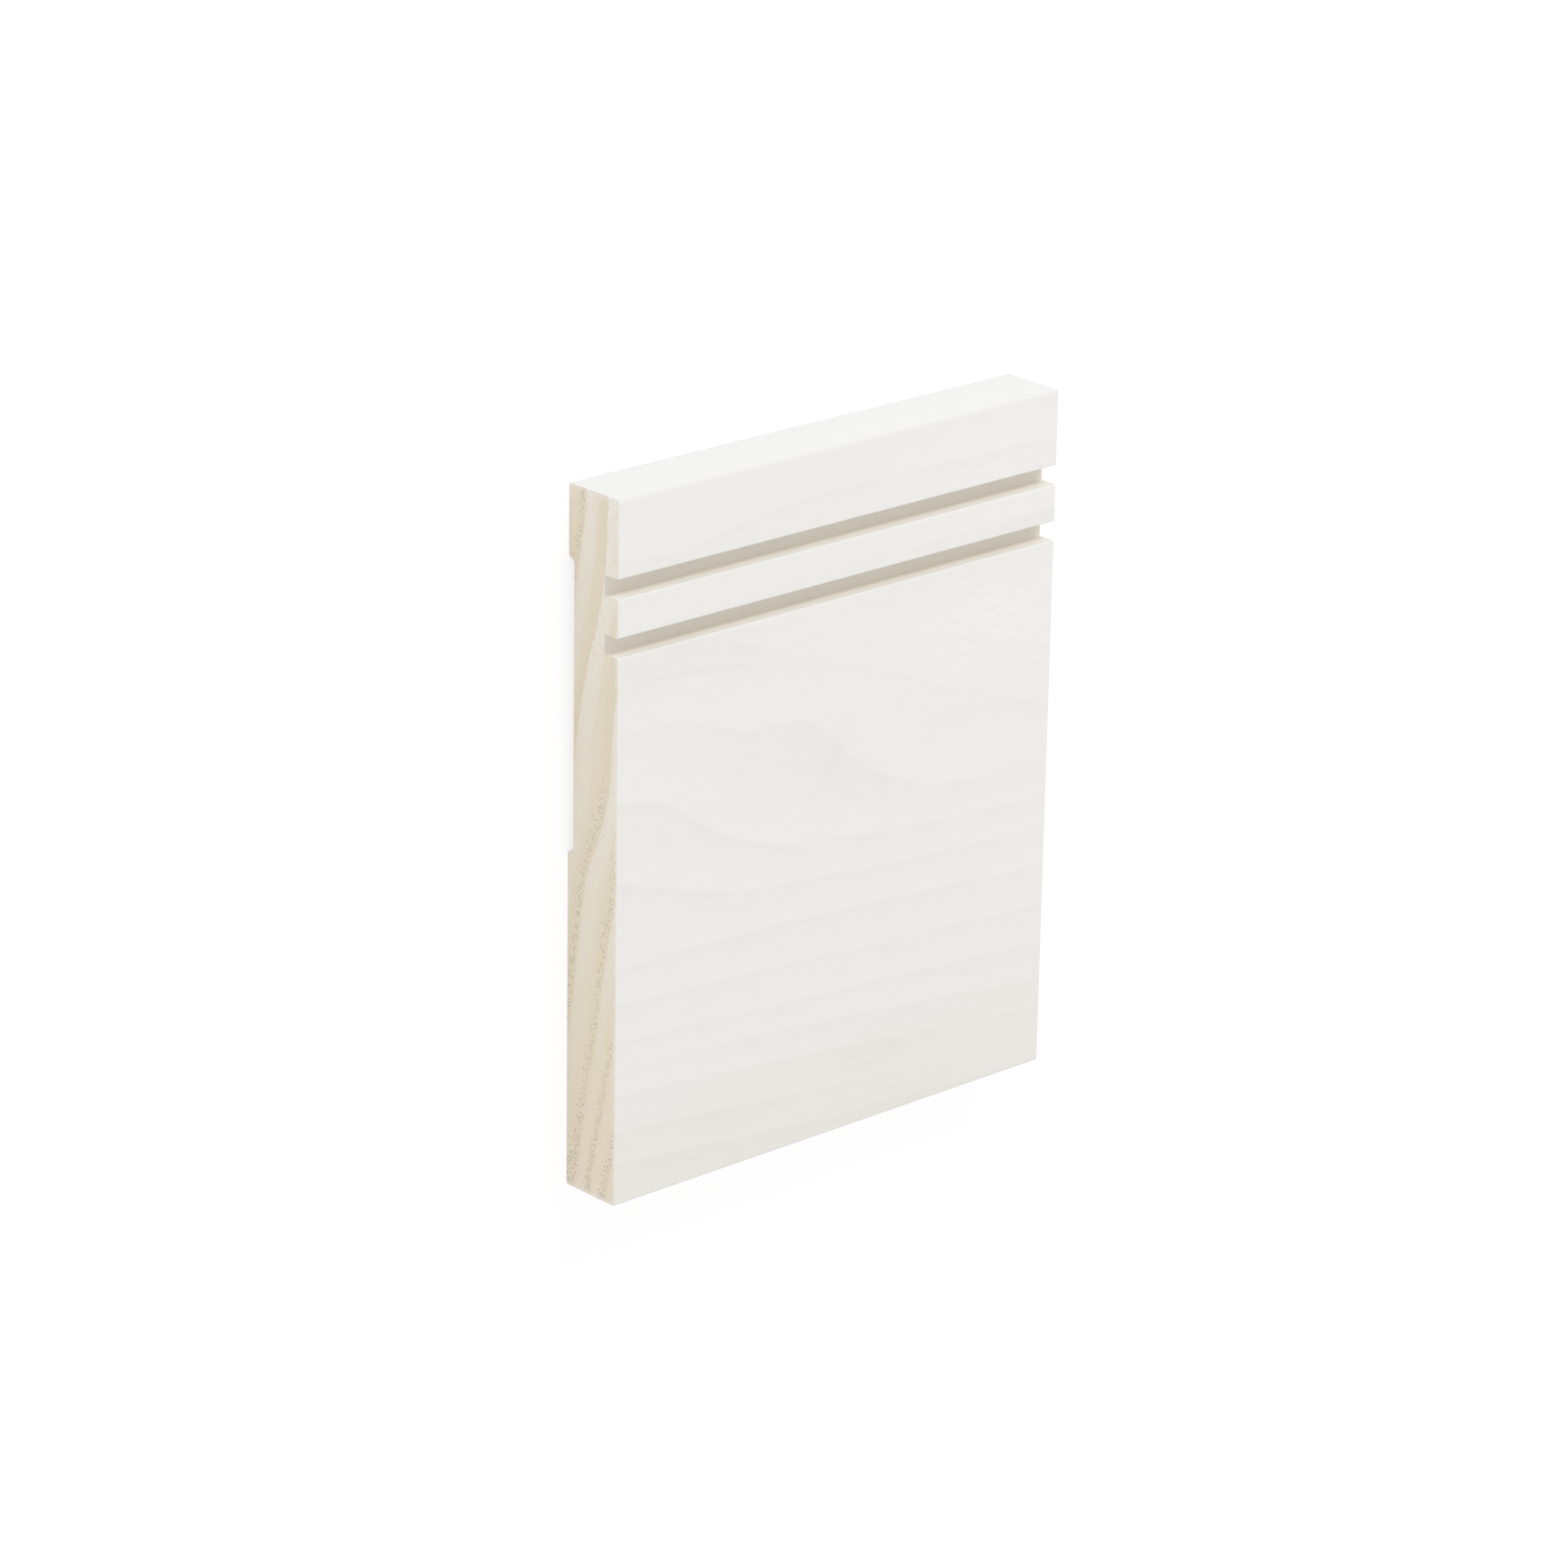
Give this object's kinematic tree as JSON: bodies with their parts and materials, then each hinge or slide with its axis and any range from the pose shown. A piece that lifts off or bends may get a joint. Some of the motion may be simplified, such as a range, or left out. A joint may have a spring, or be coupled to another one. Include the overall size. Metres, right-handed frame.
{
  "type": "skirting board length",
  "caption": "Short length of white-painted pine skirting board with two square grooves along its show face and a shallow relief along its back.",
  "frame": {"origin": "middle of the board's footprint, on the plane that its back rests on", "axes": "+X along the board's length, +Y across its height from the floor edge to the top edge, +Z out of the back towards the grooved show face"},
  "size_m": [0.115, 0.145, 0.0145],
  "materials": {
    "painted_pine": "thin matt white factory paint over planed pine on the face and edges, raw sawn pine on the two ends and raw planed pine on the back"
  },
  "bodies": {
    "root": {"skirting_board": "painted_pine"}
  },
  "joints": []
}
